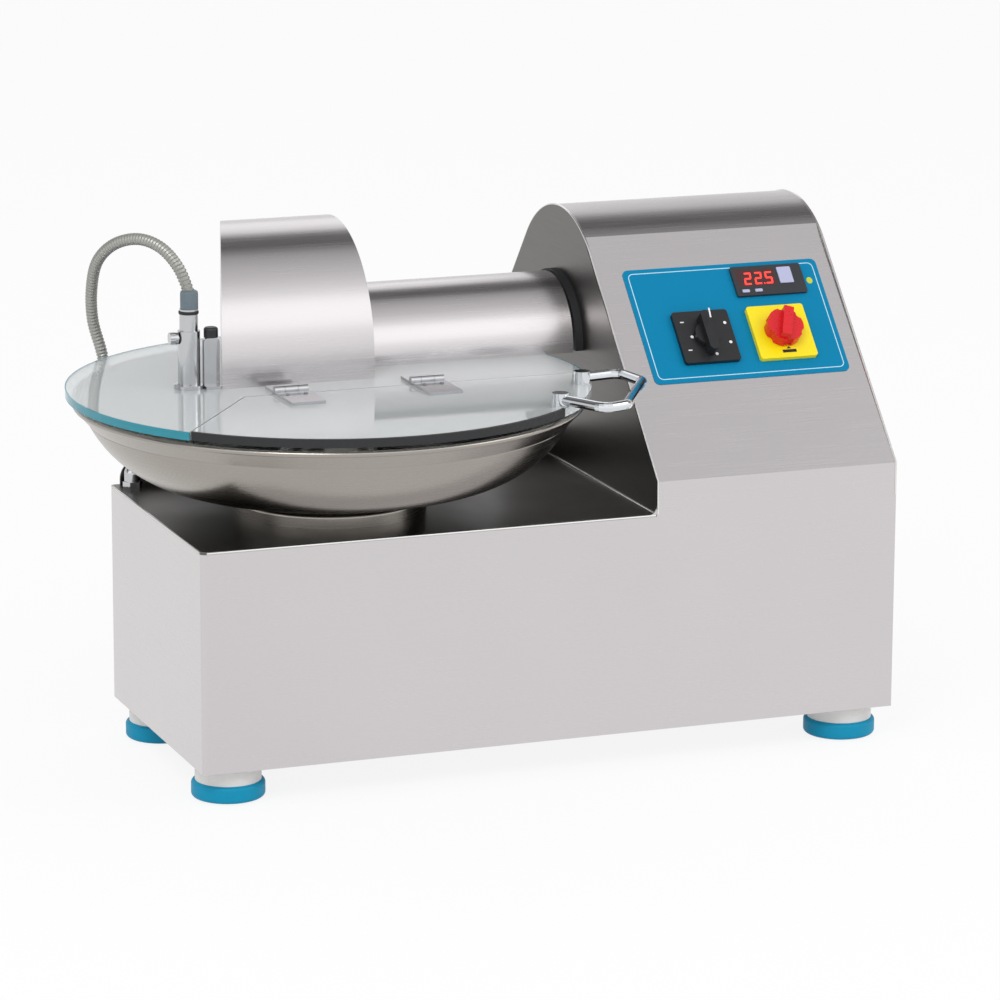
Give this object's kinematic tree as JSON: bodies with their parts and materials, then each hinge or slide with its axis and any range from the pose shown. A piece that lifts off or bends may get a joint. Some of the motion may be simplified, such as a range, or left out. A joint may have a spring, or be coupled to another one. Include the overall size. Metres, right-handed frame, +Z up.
{
  "type": "table-top bowl cutter",
  "caption": "Table-top bowl cutter: a steel bowl turns under sickle knives, below a hinged clear lid with a loading flap and hoods, beside a drive tower with controls",
  "frame": {"origin": "on the table, under the middle of the machine's box", "axes": "+X to the right along the front, from the bowl to the tower; +Y to the back; +Z up"},
  "size_m": [0.8065, 0.5665, 0.5203],
  "materials": {
    "sheet_steel": "brushed stainless sheet, satin",
    "mirror_steel": "polished stainless sheet that mirrors dark surroundings",
    "bowl_steel": "turned and polished stainless steel",
    "machined_steel": "machined stainless steel",
    "blade_steel": "ground blade steel",
    "chrome_rod": "polished rod",
    "lid_clear": "clear polycarbonate with a tinted edge",
    "black_rubber": "black rubber",
    "blue_rubber": "blue rubber ring",
    "pale_plastic": "pale moulded plastic",
    "blue_panel": "printed blue polyester overlay",
    "black_plastic": "black moulded plastic",
    "grey_plastic": "grey moulded plastic",
    "red_window": "red display window",
    "yellow_plastic": "yellow moulded plate",
    "red_plastic": "red moulded knob",
    "key_plastic": "pale lavender keys",
    "motor_paint": "grey machine paint",
    "cast_pulley": "machined cast iron",
    "hose_metal": "ribbed metal hose with a dull grey skin"
  },
  "bodies": {
    "base": {"base_housing": "sheet_steel", "bottom_plate": "machined_steel", "deck": "mirror_steel", "tower_cover": "sheet_steel", "tower_left_wall": "mirror_steel", "tower_right_wall": "sheet_steel", "rear_cover": "sheet_steel", "cover_screws": "machined_steel", "foot_cups": "pale_plastic", "foot_rings": "blue_rubber", "control_panel": "blue_panel", "display_bezel": "grey_plastic", "display_window": "red_window", "selector_plate": "black_plastic", "switch_plate": "yellow_plastic", "shaft_arm": "machined_steel", "arm_bearings": "machined_steel", "arm_seal": "black_rubber", "arch_seal": "black_rubber", "knife_motor": "motor_paint", "drive_belt": "black_rubber", "pedestal": "bowl_steel", "spindle_housing": "machined_steel", "spindle_bearings": "machined_steel", "bowl_gearmotor": "motor_paint", "control_box": "grey_plastic", "hinge_rod": "machined_steel", "conduit_gland": "machined_steel", "cable_gland": "black_plastic"},
    "knife_rotor": {"knife_shaft": "machined_steel", "knife_hub": "machined_steel", "knife_blades": "blade_steel", "knife_nut": "machined_steel", "knife_pulley": "cast_pulley"},
    "motor_rotor": {"motor_shaft": "machined_steel", "motor_pulley": "cast_pulley"},
    "turning_bowl": {"bowl": "bowl_steel", "bowl_lock_knob": "machined_steel", "bowl_spindle": "machined_steel"},
    "lid": {"lid_disc": "lid_clear", "knife_hood": "sheet_steel", "shaft_hood": "sheet_steel", "lid_hinge_arms": "machined_steel", "flap_hinge_fixed": "machined_steel", "probe_holder": "machined_steel", "probe_sleeve": "machined_steel", "probe_rod": "machined_steel", "hood_post": "machined_steel", "conduit": "hose_metal"},
    "flap": {"flap_plate": "lid_clear", "flap_edge": "black_rubber", "flap_hinge_leaves": "machined_steel", "flap_handle": "chrome_rod"},
    "selector": {"selector_knob": "black_plastic"},
    "main_switch": {"switch_knob": "red_plastic"},
    "set_button": {"set_key": "key_plastic"},
    "up_button": {"up_key": "key_plastic"},
    "down_button": {"down_key": "key_plastic"},
    "probe_screw": {"thumb_screw": "machined_steel"},
    "clamp_knob": {"hood_knob": "black_plastic"}
  },
  "joints": [
    {"name": "knife_spin", "type": "hinge", "parent": "base", "child": "knife_rotor", "pos_m": [-0.14525, 0.1, 0.398], "axis": [1, 0, 0], "continuous": true},
    {"name": "motor_spin", "type": "hinge", "parent": "base", "child": "motor_rotor", "pos_m": [0.18275, 0.046, 0.115], "axis": [1, 0, 0], "continuous": true},
    {"name": "bowl_spin", "type": "hinge", "parent": "base", "child": "turning_bowl", "pos_m": [-0.14525, -0.026, 0.276], "axis": [0, 0, 1], "continuous": true},
    {"name": "lid_hinge", "type": "hinge", "parent": "base", "child": "lid", "pos_m": [-0.14525, 0.244, 0.372], "axis": [-1, 0, 0], "range_deg": [0, 75], "deforming": ["conduit"]},
    {"name": "flap_hinge", "type": "hinge", "parent": "lid", "child": "flap", "pos_m": [-0.14525, -0.05975, 0.3815], "axis": [-1, 0, 0], "range_deg": [0, 95]},
    {"name": "selector_turn", "type": "hinge", "parent": "base", "child": "selector", "pos_m": [0.24025, -0.05705, 0.40093], "axis": [0, -0.7254, 0.6884], "range_deg": [-90, 90]},
    {"name": "switch_turn", "type": "hinge", "parent": "base", "child": "main_switch", "pos_m": [0.32275, -0.0574, 0.40057], "axis": [0, -0.7254, 0.6884], "range_deg": [0, 90]},
    {"name": "set_press", "type": "slide", "parent": "base", "child": "set_button", "axis": [0, 0.7254, -0.6884], "range_m": [0, 0.001], "stiffness_N_per_m": 300},
    {"name": "up_press", "type": "slide", "parent": "base", "child": "up_button", "axis": [0, 0.7254, -0.6884], "range_m": [0, 0.001], "stiffness_N_per_m": 300},
    {"name": "down_press", "type": "slide", "parent": "base", "child": "down_button", "axis": [0, 0.7254, -0.6884], "range_m": [0, 0.001], "stiffness_N_per_m": 300},
    {"name": "screw_turn", "type": "hinge", "parent": "lid", "child": "probe_screw", "pos_m": [-0.28125, -0.003, 0.4275], "axis": [-1, 0, 0], "range_deg": [0, 350]},
    {"name": "clamp_turn", "type": "hinge", "parent": "lid", "child": "clamp_knob", "pos_m": [-0.26075, -0.009, 0.427], "axis": [0, 0, 1], "range_deg": [0, 350]}
  ],
  "couplings": [
    {"joint": "motor_spin", "follows": "knife_spin", "ratio": 0.66667}
  ]
}
